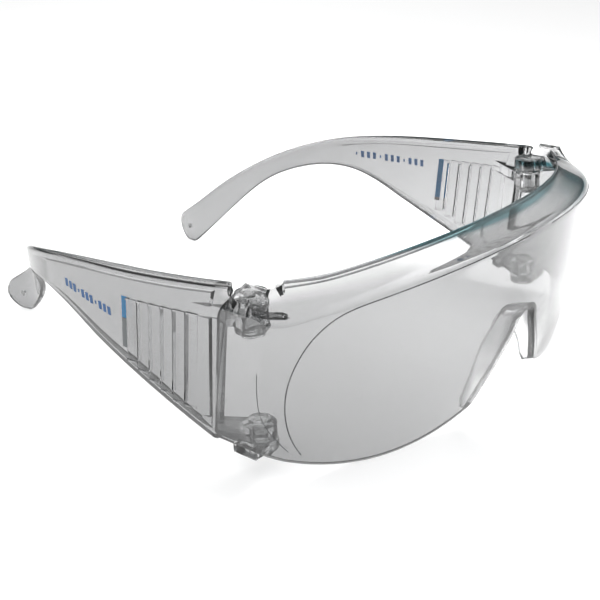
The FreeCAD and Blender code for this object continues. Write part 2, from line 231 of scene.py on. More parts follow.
def lower_edge(x):
    """Height of the visor's lower edge, nose notch included."""
    x = abs(x)
    if x < NOTCH_X:
        return ARCH[1] + math.sqrt(ARCH[2] ** 2 - x * x)
    if x < FOOT_X:
        return NOTCH_Z + (FOOT_Z - NOTCH_Z) * (x - NOTCH_X) / (FOOT_X - NOTCH_X)
    return LOBE[1] - math.sqrt(max(LOBE[2] ** 2 - (x - LOBE[0]) ** 2, 0))


def crease_height(x):
    return CREASE_Z - (CREASE_Z - CREASE_END_Z) * (x / HALF_WIDTH) ** 2


def visor_columns():
    """Column places from the rear edge of one side return round to the other, closer at the nose."""
    spans = [0, 0.9, 1.8, 2.7, 3.5, 4.3, 5, 5.9, 7, 8.4, 10, 11.6, 13.2, 14.8, 16.2, 17.2, 18.4, 20]
    spans += [22 + 2.6 * i for i in range(20)]
    radius, _, _, turn = visor_plan(28.0)
    half = [math.asin(x / radius) / turn for x in spans if math.asin(x / radius) / turn < 0.99]
    half += [1 + i / 9 for i in range(9)] + [2 + i / 7 for i in range(8)]
    return [-c for c in reversed(half[1:])] + half


def visor_rows(column, depth, rounding):
    """Points down one column: brow guard, rounded crease, face."""
    crease_x = abs(visor_point(column, CREASE_END_Z).x)
    z = crease_height(crease_x)
    corner = min(1.0, max(0.0, abs(column) - 1))
    rise = BROW_RISE + (BROW_SIDE_RISE - BROW_RISE) * min(1.0, abs(column)) ** 2
    rise = max(rise, BROW_CREST_Z - z)
    crease = visor_point(column, z)
    rear = visor_point(column, z, depth + (BROW_SIDE_DEPTH - depth) * corner)
    rear.z += rise
    if abs(column) > 2:
        rear.y = min(rear.y, return_edge(rear.z) - (3 - abs(column)) * 0.5)
    back = (rear - crease).normalized()
    foot_z = lower_edge(visor_point(column, lower_edge(crease_x)).x)
    for _ in range(12):
        foot_z = (foot_z + lower_edge(visor_point(column, foot_z).x)) / 2
    start, end = crease + back * rounding, visor_point(column, z - rounding)
    points = [rear.lerp(start, i / 7) for i in range(7)]
    for i in range(7):
        t = i / 6
        points.append(start * (1 - t) ** 2 + crease * 2 * t * (1 - t) + end * t ** 2)
    for i in range(1, 31):
        points.append(visor_point(column, end.z + (foot_z - end.z) * i / 30))
    return points


def spline_through(points):
    """Function giving the second value of a smooth line through the points, against the first."""
    xs, ys = [p[0] for p in points], [p[1] for p in points]
    n = len(xs)
    slopes, rights = [0.0] * n, [0.0] * n
    for i in range(1, n - 1):
        before, after = xs[i] - xs[i - 1], xs[i + 1] - xs[i]
        bend = 3 * ((ys[i + 1] - ys[i]) / after - (ys[i] - ys[i - 1]) / before)
        weight = 2 * (before + after) - before * slopes[i - 1]
        slopes[i] = after / weight
        rights[i] = (bend - before * rights[i - 1]) / weight
    curves = [0.0] * n
    for i in range(n - 2, 0, -1):
        curves[i] = rights[i] - slopes[i] * curves[i + 1]

    def value(x):
        i = max(0, min(n - 2, sum(1 for v in xs if v <= x) - 1))
        h, t = xs[i + 1] - xs[i], x - xs[i]
        slope = (ys[i + 1] - ys[i]) / h - h * (2 * curves[i] + curves[i + 1]) / 3
        return ys[i] + slope * t + curves[i] * t * t + (curves[i + 1] - curves[i]) / (3 * h) * t ** 3

    return value


TOP_LINE, LOWER_LINE = spline_through(TOP_EDGE), spline_through(LOWER_EDGE)


def arm_top(y):
    if y > TIP_Y + TIP_SIDE:
        return TIP_Z + math.sqrt(max(TIP_RADIUS ** 2 - (y - TIP_Y) ** 2, 0))
    return TOP_LINE(y)


def arm_foot(y):
    if y > TIP_Y - TIP_SIDE:
        return TIP_Z - math.sqrt(max(TIP_RADIUS ** 2 - (y - TIP_Y) ** 2, 0))
    if y > LOWER_EDGE[0][0]:
        return LOWER_LINE(y)
    (y0, z0), (y1, z1) = FRONT_FOOT if y < FRONT_FOOT[1][0] else (FRONT_FOOT[1], LOWER_EDGE[0])
    return z0 + (z1 - z0) * (y - y0) / (y1 - y0)


def arm_outer(y):
    """Place across and heading of the arm's outer face."""
    if y < WIDEST_Y:
        heading = -math.asin((WIDEST_Y - y) / FRONT_BOW)
        return WIDEST_X - FRONT_BOW * (1 - math.cos(heading)), heading
    x, here, heading = WIDEST_X, WIDEST_Y, 0.0
    for radius, size in ARM_BENDS:
        if radius is None:
            ahead = here + size * math.cos(heading)
            if y <= ahead:
                return x - (y - here) * math.tan(heading), heading
            x, here = x - size * math.sin(heading), ahead
            continue
        end = math.radians(size)
        turn = 1 if end > heading else -1
        ahead = here + turn * radius * (math.sin(end) - math.sin(heading))
        if y <= ahead or radius == ARM_BENDS[-1][0]:
            angle = math.asin(max(-1, min(1, math.sin(heading) + turn * (y - here) / radius)))
            return x - turn * radius * (math.cos(heading) - math.cos(angle)), angle
        x, here, heading = x - turn * radius * (math.cos(heading) - math.cos(end)), ahead, end
    return x, heading


def arm_stations():
    """Places along the arm, closer at the front band and at the tip."""
    places = [ARM_FRONT + d for d in (0, 0.1, 0.3, 0.6, 1, 1.5, 2.1, 2.7)]
    places += [ARM_FRONT + FRONT_BAND + d for d in (0, 0.25, 0.9, 1.8)]
    places += [19.6 + 1.9 * i for i in range(61)]
    places += [135.4 + 1.2 * i for i in range(7)]
    end = TIP_Y + TIP_RADIUS
    places += [end - 7.0 * (1 - i / 16) ** 2 - 0.002 for i in range(2, 17)]
    return sorted(p for p in places if p < end)


def leaned(y, z):
    """True place back of a station at one height: the front edge leans as the visor's rear edge does."""
    if y > LEAN_END:
        return y
    return y + (return_edge(z) - RETURN_BACK) * (LEAN_END - y) / (LEAN_END - ARM_FRONT)


def arm_section(y, sizes):
    """Inset and height round one section of the arm, from the outer face over the flange to the rim."""
    top, foot = arm_top(y), arm_foot(y)
    for _ in range(6):
        top, foot = arm_top(leaned(y, top)), arm_foot(leaned(y, foot))
    ahead = (y - ARM_FRONT) / 1.6
    if ahead < 1:
        drop = 1 - math.sqrt(1 - (1 - ahead) ** 2)
        top, foot = top - 1.6 * drop, foot + 0.6 * drop
    wall = sizes.wall / MM
    flange, rim = wall + 0.04, wall + 0.04
    if y < FLANGE_END_Y:
        flange += (sizes.flange / MM - flange) * min(1, (FLANGE_END_Y - y) / (FLANGE_END_Y - 45))
    if y < RIM_END_Y:
        rim += (sizes.rim / MM - rim) * min(1, (RIM_END_Y - y) / (RIM_END_Y - 45))
    inner = wall
    if y <= ARM_FRONT + FRONT_BAND:
        inner = sizes.rim / MM - 0.05
    height = top - foot
    curve = min(0.9, height * 0.3)
    thick = min(sizes.flange_thick / MM, height * 0.3)
    lip = min(1.6, height * 0.2)
    corner = [(curve * (1 - math.cos(a)), curve * (1 - math.sin(a))) for a in (0, 0.39, 0.79, 1.18, 1.57)]
    points = [(d, top - e) for d, e in corner]
    points += [(flange - d, top - e) for d, e in reversed(corner)]
    points += [(flange, top - thick + 0.1), (flange - 0.02, top - thick)]
    points += [(inner + 0.4 * (flange > inner + 0.5), top - thick)]
    points += [(inner, top - thick - 0.4 * min(1, height / 8))]
    points += [(inner, foot + lip + (top - thick - foot - lip) * (1 - i / 9)) for i in range(1, 9)]
    points += [(inner, foot + lip + 0.02), (rim - 0.02, foot + lip), (rim, foot + lip - 0.1)]
    points += [(rim - d, foot + e * (lip / 1.6)) for d, e in corner]
    points += [(d, foot + e * (lip / 1.6)) for d, e in reversed(corner)]
    points += [(0, foot + curve + (height - 2 * curve) * i / 11) for i in range(1, 11)]
    return points


def arm_place(y, inset, z, side):
    """Point of the arm at one station, depth and height."""
    y = leaned(y, z)
    x, heading = arm_outer(y)
    return place(side * (x - inset * math.cos(heading)), y - inset * math.sin(heading), z)


# ---------------------------------------------------------------- modelling helpers
def deselect():
    if bpy.context.object and bpy.context.object.mode != "OBJECT":
        bpy.ops.object.mode_set(mode="OBJECT")
    bpy.ops.object.select_all(action="DESELECT")


def only(piece):
    deselect()
    piece.select_set(True)
    bpy.context.view_layer.objects.active = piece
    return piece


def grid(name, columns, rows, place_of):
    """A grid whose points are moved to their places; columns and rows are counted from zero."""
    deselect()
    bpy.ops.mesh.primitive_grid_add(x_subdivisions=columns - 1, y_subdivisions=rows - 1, size=2)
    piece = bpy.context.object
    piece.name = name
    for vertex in piece.data.vertices:
        i = round((vertex.co.x + 1) / 2 * (columns - 1))
        j = round((vertex.co.y + 1) / 2 * (rows - 1))
        vertex.co = place_of(i, j)
    return piece


def edit_whole(piece):
    """Leaves the piece in edit mode with all of it selected."""
    only(piece)
    bpy.ops.object.mode_set(mode="EDIT")
    bpy.ops.mesh.select_mode(type="VERT")
    bpy.ops.mesh.select_all(action="SELECT")


def choose(piece, wanted, kind="VERT"):
    """Leaves the piece in edit mode with the wanted points, edges or faces selected."""
    only(piece)
    bpy.ops.object.mode_set(mode="EDIT")
    bpy.ops.mesh.select_mode(type=kind)
    bpy.ops.mesh.select_all(action="DESELECT")
    bpy.ops.object.mode_set(mode="OBJECT")
    mesh = piece.data
    parts = {"VERT": mesh.vertices, "EDGE": mesh.edges, "FACE": mesh.polygons}[kind]
    for part in parts:
        part.select = wanted(part)
    bpy.ops.object.mode_set(mode="EDIT")


def done():
    bpy.ops.object.mode_set(mode="OBJECT")


def outward(piece):
    """Merges doubled points and turns every face outwards."""
    edit_whole(piece)
    bpy.ops.mesh.remove_doubles(threshold=0.00001)
    bpy.ops.mesh.normals_make_consistent(inside=False)
    done()


def modify(piece, kind, **values):
    """Adds a modifier with its values and applies it."""
    only(piece)
    modifier = piece.modifiers.new(kind.title(), kind)
    for key, value in values.items():
        setattr(modifier, key, value)
    bpy.ops.object.modifier_apply(modifier=modifier.name)


def cut(piece, tool, operation="DIFFERENCE"):
    modify(piece, "BOOLEAN", object=tool, operation=operation, solver="EXACT")
    bpy.data.objects.remove(tool)


def smooth(piece, degrees=32):
    only(piece)
    bpy.ops.object.shade_smooth_by_angle(angle=math.radians(degrees), keep_sharp_edges=False)


def drum(name, radius, low, high, x, y, sides=40, bevel=0.0):
    """An upright round bar."""
    deselect()
    bpy.ops.mesh.primitive_cylinder_add(vertices=sides, radius=radius * MM, depth=(high - low) * MM,
                                        location=place(x, y, (low + high) / 2))
    piece = bpy.context.object
    piece.name = name
    bpy.ops.object.transform_apply(location=True, rotation=True, scale=True)
    if bevel:
        modify(piece, "BEVEL", width=bevel * MM, segments=2, limit_method="ANGLE")
    return piece


def slab(name, low, high):
    """A box between two corners, in the hinge frame's millimetres."""
    deselect()
    middle = [(a + b) / 2 for a, b in zip(low, high)]
    bpy.ops.mesh.primitive_cube_add(size=1, location=place(*middle),
                                    scale=[abs(b - a) * MM for a, b in zip(low, high)])
    piece = bpy.context.object
    piece.name = name
    bpy.ops.object.transform_apply(location=True, rotation=True, scale=True)
    return piece


def panel(name, outline, low, high):
    """An upright prism over a plan outline."""
    count = len(outline)
    deselect()
    bpy.ops.mesh.primitive_circle_add(vertices=count, radius=1, fill_type="NGON")
    piece = bpy.context.object
    piece.name = name
    for vertex, (x, y) in zip(piece.data.vertices, outline):
        vertex.co = place(x, y, low)
    edit_whole(piece)
    bpy.ops.mesh.extrude_region_move(TRANSFORM_OT_translate={"value": (0, 0, (high - low) * MM)})
    bpy.ops.mesh.select_all(action="SELECT")
    bpy.ops.mesh.normals_make_consistent(inside=False)
    done()
    return piece


def wire(name, points, radius):
    """A smooth thin line through the points, as a closed tube."""
    curve = bpy.data.curves.new(name, "CURVE")
    curve.dimensions = "3D"
    line = curve.splines.new("NURBS")
    line.points.add(len(points) - 1)
    for point, place_of in zip(line.points, points):
        point.co = (*place_of, 1)
    line.order_u, line.use_endpoint_u, line.resolution_u = 4, True, 8
    curve.bevel_depth, curve.bevel_resolution, curve.use_fill_caps = radius, 2, True
    piece = bpy.data.objects.new(name, curve)
    bpy.context.scene.collection.objects.link(piece)
    only(piece)
    bpy.ops.object.convert(target="MESH")
    piece = bpy.context.object
    outward(piece)
    smooth(piece, 60)
    return piece


# ---------------------------------------------------------------- finishes
def effect_group(name, outputs, inputs=()):
    """An empty node group with its sockets; gives the group and its two ends."""
    group = bpy.data.node_groups.new(name, "ShaderNodeTree")
    for socket, default in inputs:
        made = group.interface.new_socket(socket, in_out="INPUT", socket_type="NodeSocketFloat")
        made.default_value = default
    for socket, kind in outputs:
        group.interface.new_socket(socket, in_out="OUTPUT", socket_type=kind)
    return group, group.nodes.new("NodeGroupInput"), group.nodes.new("NodeGroupOutput")


def value_makers(group):
    """Makers of value nodes in a group: a calculation, and a smooth step from one value to another."""
    nodes, links = group.nodes, group.links

    def calculate(operation, *values):
        node = nodes.new("ShaderNodeMath")
        node.operation = operation
        for socket, value in zip(node.inputs, values):
            if isinstance(value, (int, float)):
                socket.default_value = value
            else:
                links.new(value, socket)
        return node.outputs[0]

    def fade(value, low, high):
        node = nodes.new("ShaderNodeMapRange")
        node.interpolation_type = "SMOOTHSTEP"
        node.inputs["From Min"].default_value = low
        node.inputs["From Max"].default_value = high
        links.new(value, node.inputs["Value"])
        return node.outputs["Result"]

    return calculate, fade


def cloud(group, vector, scale, detail):
    """A noise laid over the piece."""
    noise = group.nodes.new("ShaderNodeTexNoise")
    noise.inputs["Scale"].default_value = scale
    noise.inputs["Detail"].default_value = detail
    group.links.new(vector, noise.inputs["Vector"])
    return noise.outputs["Fac"]


def wear_group():
    """Fine handling scratches and moulding flow, as a roughness and a height."""
    group, start, end = effect_group(
        "Handling wear", (("Roughness", "NodeSocketFloat"), ("Height", "NodeSocketFloat")),
        (("Base Roughness", 0.04), ("Scratch Amount", 0.3), ("Flow", 0.3)))
    nodes, links = group.nodes, group.links
    calculate, _ = value_makers(group)
    where = nodes.new("ShaderNodeTexCoord").outputs["Object"]
    sets = []
    for turn, stretch in ((0.5, 40), (1.9, 60)):
        mapping = nodes.new("ShaderNodeMapping")
        mapping.inputs["Rotation"].default_value = (0.3, turn, turn)
        mapping.inputs["Scale"].default_value = (stretch, 900, 900)
        sharp = nodes.new("ShaderNodeMapRange")
        sharp.inputs["From Min"].default_value = 0.72
        sharp.inputs["From Max"].default_value = 0.78
        links.new(where, mapping.inputs["Vector"])
        links.new(cloud(group, mapping.outputs["Vector"], 1.0, 2.0), sharp.inputs["Value"])
        sets.append(sharp.outputs["Result"])
    scratches = calculate("MULTIPLY", calculate("MAXIMUM", *sets), start.outputs["Scratch Amount"])
    rough = calculate("MULTIPLY_ADD", scratches, SCRATCH_ROUGHNESS, start.outputs["Base Roughness"])
    flow = cloud(group, where, 45.0, 1.0)
    links.new(rough, end.inputs["Roughness"])
    links.new(calculate("MULTIPLY_ADD", flow, start.outputs["Flow"], scratches), end.inputs["Height"])
    return group


def shade_group():
    """Painted light and shade on the plastic: painted shade darker at the sides, painted light on the brow,
    hinges and nose, a dark teal painted shade and reflection where it bends.
    """
    group, start, end = effect_group(
        "Painted shading and mottle", [(name, "NodeSocketFloat") for name in ("Depth", "Clear", "Painted crease shade")],
        (("Side Weight", 0.6), ("Variation", 0.2)))
    nodes, links = group.nodes, group.links
    calculate, fade = value_makers(group)
    where = nodes.new("ShaderNodeTexCoord").outputs["Object"]
    apart = nodes.new("ShaderNodeSeparateXYZ")
    links.new(where, apart.inputs["Vector"])
    x, y, z = (apart.outputs[axis] for axis in "XYZ")
    across = calculate("ABSOLUTE", x)
    ahead = calculate("SUBTRACT", y, HINGE.y * MM)
    aside = calculate("SUBTRACT", across, PIVOT_X * MM)

    # painted shade: the tint turns darker towards the sides of the visor and over the arms, with a random
    # mottle added
    side = calculate("MULTIPLY", fade(across, *SIDE_FADE), start.outputs["Side Weight"])
    side_shade_and_mottle = calculate("MULTIPLY_ADD", cloud(group, where, 22.0, 2.0), start.outputs["Variation"], side)
    links.new(side_shade_and_mottle, end.inputs["Depth"])

    # painted light: the tint turns paler on the top of the brow, round the hinges and on the nose rest
    front = fade(y, *ARM_FADE)
    crown = calculate("MULTIPLY_ADD", ahead, CROWN_LEAN, z)
    upper = calculate("MULTIPLY", calculate("MULTIPLY", fade(crown, *CROWN_FADE), front), 0.5)
    square = calculate("MULTIPLY_ADD", aside, aside, calculate("MULTIPLY", ahead, ahead))
    hinge = fade(calculate("SQRT", square), *HINGE_FADE)
    nose = calculate("MULTIPLY", fade(across, *NOSE_FADE_X), fade(y, *NOSE_FADE_Y))
    links.new(calculate("MAXIMUM", calculate("MAXIMUM", upper, hinge), nose), end.inputs["Clear"])

    def along_brow(fall, height, width):
        """A band that follows the brow, whose height falls with the square of the place across."""
        level = calculate("ADD", z, calculate("MULTIPLY", calculate("MULTIPLY", x, x), fall))
        return fade(calculate("ABSOLUTE", calculate("SUBTRACT", level, height)), *width)

    # painted reflection along the crease and painted shade along the brow's rear edge, both in dark teal
    crease_fall = (CREASE_Z - CREASE_END_Z) / HALF_WIDTH ** 2 / MM
    crease = along_brow(crease_fall, (CREASE_Z - 0.4) * MM, CREASE_BAND)
    rear = along_brow(REAR_FALL, REAR_TOP, REAR_BAND)
    both = calculate("MAXIMUM", calculate("MULTIPLY", crease, fade(x, 0.0, 0.05)),
                     calculate("MULTIPLY", rear, fade(across, 0.062, 0.052)))
    links.new(calculate("MULTIPLY", both, front), end.inputs["Painted crease shade"])
    return group


def blend(material, factor, first, second):
    """A colour mixed from two; either may be a colour or another node's socket."""
    nodes, links = material.node_tree.nodes, material.node_tree.links
    mix = nodes.new("ShaderNodeMix")
    mix.data_type = "RGBA"
    for name, colour in (("A", first), ("B", second)):
        if isinstance(colour, tuple):
            mix.inputs[name].default_value = (*colour, 1)
        else:
            links.new(colour, mix.inputs[name])
    links.new(factor, mix.inputs["Factor"])
    return mix.outputs["Result"]


def shared_effect(material, name, **values):
    """One of the shared node groups, with its input values."""
    effect = material.node_tree.nodes.new("ShaderNodeGroup")
    effect.node_tree = bpy.data.node_groups[name]
    for socket, value in values.items():
        effect.inputs[socket.replace("_", " ").title()].default_value = value
    return effect.outputs


def clear_plastic(name, tint, shaded_tint, side_weight, rough=0.03):
    """Clear polycarbonate: tinted refraction that lets light through to what lies behind it."""
    material = bpy.data.materials.new(name)
    material.use_nodes = True
    nodes, links = material.node_tree.nodes, material.node_tree.links
    shader, out = nodes["Principled BSDF"], nodes["Material Output"]
    shader.inputs["Transmission Weight"].default_value = 1.0
    shader.inputs["IOR"].default_value = 1.585
    shader.inputs["Metallic"].default_value = 0.0
    wear = shared_effect(material, "Handling wear", base_roughness=rough)
    depth = shared_effect(material, "Painted shading and mottle", side_weight=side_weight)
    # painted light and shade in the tint: darker at the sides, paler on the brow, hinges and nose, dark teal
    # at the crease and the brow's rear edge; the pale tint is also what shadow rays pass through
    pale_tint = tuple(v ** 0.25 for v in tint)
    colour = blend(material, depth["Depth"], tint, shaded_tint)
    colour = blend(material, depth["Clear"], colour, pale_tint)
    colour = blend(material, depth["Painted crease shade"], colour, CREASE_SHADE_COLOUR)
    links.new(colour, shader.inputs["Base Color"])
    links.new(wear["Roughness"], shader.inputs["Roughness"])
    bump = nodes.new("ShaderNodeBump")
    bump.inputs["Strength"].default_value = 0.25
    bump.inputs["Distance"].default_value = 0.2 * MM
    links.new(wear["Height"], bump.inputs["Height"])
    links.new(bump.outputs["Normal"], shader.inputs["Normal"])
    through = nodes.new("ShaderNodeBsdfTransparent")
    through.inputs["Color"].default_value = (*pale_tint, 1)
    path = nodes.new("ShaderNodeLightPath")
    either = nodes.new("ShaderNodeMath")
    either.operation = "MAXIMUM"
    links.new(path.outputs["Is Shadow Ray"], either.inputs[0])
    links.new(path.outputs["Is Diffuse Ray"], either.inputs[1])
    mix = nodes.new("ShaderNodeMixShader")
    links.new(either.outputs[0], mix.inputs["Fac"])
    links.new(shader.outputs["BSDF"], mix.inputs[1])
    links.new(through.outputs["BSDF"], mix.inputs[2])
    links.new(mix.outputs["Shader"], out.inputs["Surface"])
    return material


def solid_finish(name, colour, rough, mottle=0.15):
    """Printed or coloured plastic with slightly uneven cover."""
    material = bpy.data.materials.new(name)
    material.use_nodes = True
    shader, links = material.node_tree.nodes["Principled BSDF"], material.node_tree.links
    wear = shared_effect(material, "Handling wear", base_roughness=rough)
    depth = shared_effect(material, "Painted shading and mottle", side_weight=0.0, variation=mottle)
    paler = tuple(min(1, v + 0.25) for v in colour)
    links.new(blend(material, depth["Depth"], colour, paler), shader.inputs["Base Color"])
    links.new(wear["Roughness"], shader.inputs["Roughness"])
    return material


def dress(piece, material):
    piece.data.materials.clear()
    piece.data.materials.append(bpy.data.materials[material])


# ---------------------------------------------------------------- operators
class GLASSES_OT_finishes(bpy.types.Operator):
    """Makes the finishes of the glasses"""
    bl_idname = "glasses.finishes"
    bl_label = "Finishes"

    def execute(self, context):
        sizes = context.scene.glasses_finish
        wear_group()
        shade_group()
        visor, arm, ink = tuple(sizes.visor_tint), tuple(sizes.arm_tint), tuple(sizes.ink)
        clear_plastic("Clear visor", visor, tuple(v * 0.86 for v in visor), 0.7)
        clear_plastic("Clear arm", arm, tuple(v * 0.9 for v in arm), 0.3)
        clear_plastic("Clear pin", (0.8, 0.83, 0.82), (0.6, 0.66, 0.65), 0.3, rough=0.05)
        # dark tint: painted shade for the raised border lines and for the lines along the brow's rear edge
        clear_plastic("Border and painted shade line", (0.25, 0.26, 0.27), (0.2, 0.2, 0.21), 0.3, rough=0.2)
        solid_finish("Blue ink", ink, 0.35, mottle=0.05)
        solid_finish("Pale blue ink", tuple(0.02 + 3 * v for v in ink), 0.35, mottle=0.05)
        solid_finish("Vent blue", (0.0, 0.13, 0.30), 0.25, mottle=0.05)
        solid_finish("Vent grey", (0.10, 0.11, 0.115), 0.25)
        return {"FINISHED"}


class GLASSES_OT_visor(bpy.types.Operator):
    """Builds the visor with its brow guard, nose rest and hinge lugs"""
    bl_idname = "glasses.visor"
    bl_label = "Visor"

    def execute(self, context):
        sizes = context.scene.glasses_visor
        columns = visor_columns()
        lines = [visor_rows(c, sizes.brow_depth / MM, sizes.brow_round / MM) for c in columns]
        visor = grid("visor", len(columns), len(lines[0]), lambda i, j: place(*lines[i][j]))
        foot = place(FOOT_X + 0.3, 0, 0).x
        last = len(lines[0]) - 1
        ends = {tuple(round(v, 7) for v in place(*lines[i][last])) for i in range(len(columns))}
        points = visor.data.vertices
        rim = [tuple(round(v, 7) for v in p.co) in ends and abs(p.co.x) < foot for p in points]
        choose(visor, lambda e: rim[e.vertices[0]] and rim[e.vertices[1]], "EDGE")
        roots = {tuple(round(v, 7) for v in p.co): p.co.copy() for p in points if rim[p.index]}
        for step in range(FLANGE_STEPS):
            bpy.ops.mesh.extrude_edges_move(TRANSFORM_OT_translate={"value": (0, FLANGE_STEP, 0)})
        done()
        back = place(0, -sizes.nose_back / MM, 0).y
        for point in visor.data.vertices[len(rim):]:
            root = min(roots.values(), key=lambda r: abs(r.x - point.co.x) + abs(r.z - point.co.z))
            step = round((point.co.y - root.y) / FLANGE_STEP)
            self.flange(point, root, step / FLANGE_STEPS, back)
        outward(visor)
        front = min(visor.data.polygons, key=lambda p: (p.center - place(-30, -35, 28)).length)
        if front.normal.y > 0:
            edit_whole(visor)
            bpy.ops.mesh.flip_normals()
            done()
        modify(visor, "SOLIDIFY", thickness=sizes.wall, offset=-1, use_even_offset=True,
               use_quality_normals=True, thickness_clamp=0.0)
        modify(visor, "BEVEL", width=sizes.edge_round, segments=3, limit_method="ANGLE",
               angle_limit=math.radians(50))
        for _, side in SIDES:
            x = side * PIVOT_X
            inner = side * (HALF_WIDTH - 0.6)
            for low, high in (UPPER_LUG, LOWER_LUG):
                cut(visor, drum("lug", LUG_RADIUS, low, high, x, PIVOT_Y, bevel=0.4), "UNION")
            web = (side * (PIVOT_X + 0.4), PIVOT_Y - LUG_RADIUS + 0.35, LOWER_LUG[0] + 0.04)
            cut(visor, slab("web", web, (inner, 5.4, LOWER_LUG[1] - 0.04)), "UNION")
            cut(visor, slab("tongue", (side * (HALF_WIDTH - 2.1), -3.4, 7), (inner, 5.4, 15)), "UNION")
            web = (side * PIVOT_X, PIVOT_Y - LUG_RADIUS + 0.4, UPPER_LUG[0] + 0.04)
            cut(visor, slab("web", web, (side * 74.1, PIVOT_Y + 1.5, UPPER_LUG[1] - 0.04)), "UNION")
            cut(visor, wire("rib", [place(side * a, b, c) for a, b, c in LUG_RIB], 0.95 * MM), "UNION")
            for low, high in (UPPER_LUG, LOWER_LUG):
                cut(visor, drum("bore", 1.5, low - 1, high + 1, x, PIVOT_Y))
        smooth(visor)
        dress(visor, "Clear visor")
        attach(visor, "front")
        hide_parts("front_lens")
        return {"FINISHED"}

    def flange(self, point, root, share, back):
        """Draws one point of the nose rest back: less far over the bridge, lower and rounded at the feet."""
        height = root.z / MM
        bridge = max(0.0, (height - 14) / (NOTCH_TOP - 14))
        low = max(0.0, 1 - (height - FOOT_Z) / 8)
        rear = back + (1.6 * low - 3.4 * bridge ** 2) * MM
        along = max(0.0, height - FOOT_Z) * 1.17
        if along < 2:
            rear -= (2 - math.sqrt(4 - (2 - along) ** 2)) * MM
        point.co.y = root.y + (rear - root.y) * share
        point.co.z = root.z - (2.6 * bridge ** 1.5 + 1.8 * low ** 2) * MM * share


class GLASSES_OT_borders(bpy.types.Operator):
    """Builds the raised lines round the viewing window and on the side returns, tinted dark as painted shade,
    and two painted shade lines along the brow's rear edge
    """
    bl_idname = "glasses.borders"
    bl_label = "Window borders"

    def execute(self, context):
        window = [(x, crease_height(x) - 1.6) for x in (6, 16, 26, 36, 46, 54)] + list(WINDOW_SIDE)
        for name, side in SIDES:
            points = [place(*on_visor(side * x, z, 0.02)) for x, z in window]
            border = wire("window_border_" + name, points, 0.17 * MM)
            dress(border, "Border and painted shade line")
            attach(border, "front")
            points = [place(side * x, y, z) for x, y, z in CHEEK_LINE]
            border = wire("cheek_border_" + name, points, 0.12 * MM)
            dress(border, "Border and painted shade line")
            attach(border, "front")
        sizes = context.scene.glasses_visor
        depth, rounding = sizes.brow_depth / MM, sizes.brow_round / MM
        # painted shade: two dark lines laid along the brow's rear edge
        rear = [visor_rows(c / 12, depth, rounding)[0] for c in range(-12, 13)]
        for name, drop in (("upper", 0.0), ("lower", 2.2)):
            border = wire("brow_shade_line_" + name, [place(p.x, p.y, p.z - drop) for p in rear], 0.3 * MM)
            dress(border, "Border and painted shade line")
            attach(border, "front")
        return {"FINISHED"}


